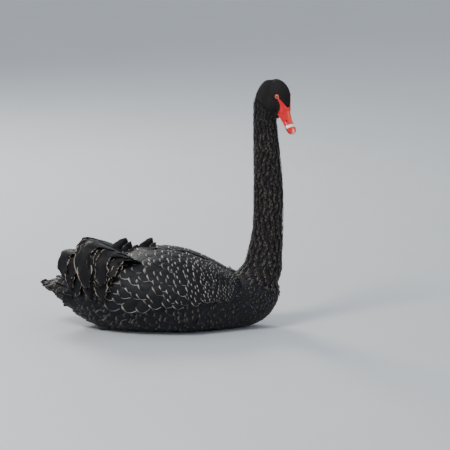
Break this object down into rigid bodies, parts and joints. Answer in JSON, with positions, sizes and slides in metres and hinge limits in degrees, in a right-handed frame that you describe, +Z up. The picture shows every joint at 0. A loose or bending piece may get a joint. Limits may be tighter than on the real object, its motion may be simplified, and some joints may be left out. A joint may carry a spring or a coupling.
{
  "type": "black swan model",
  "caption": "Life-size still model of a black swan resting on its belly, its neck upright and its head turned to its right.",
  "frame": {"origin": "a point on the flat of the belly where it rests on the floor, midway between the bird's left and right sides", "axes": "+X from tail to breast, +Y to the bird's left, +Z up"},
  "size_m": [0.623, 0.263, 0.619],
  "materials": {
    "trunk_plumage": "soft black body feathers with a faint blue-grey bloom",
    "tail_plumage": "black tail feathers with thin paler edges",
    "neck_plumage": "small furrowed black neck feathers with brown-grey tips",
    "head_plumage": "short velvety black-brown feathers",
    "bill_horn": "smooth waxy red horn with a white band and a pale pink nail",
    "eye": "wet orange-red iris with a black pupil",
    "wing_plumage": "glossy black wing feathers fringed with grey-brown",
    "white_quills": "white flight feathers",
    "leg_scales": "dull black scaled skin and webs"
  },
  "bodies": {
    "root": {"trunk": "trunk_plumage", "tail": "tail_plumage", "neck_lower": "neck_plumage", "neck_middle": "neck_plumage", "neck_upper": "neck_plumage", "head": "head_plumage", "bill_upper": "bill_horn", "bill_lower": "bill_horn", "eye_left": "eye", "eye_right": "eye", "wing_left": "wing_plumage", "wing_right": "wing_plumage", "primaries_left": "white_quills", "primaries_right": "white_quills", "leg_left": "leg_scales", "leg_right": "leg_scales"}
  },
  "joints": []
}
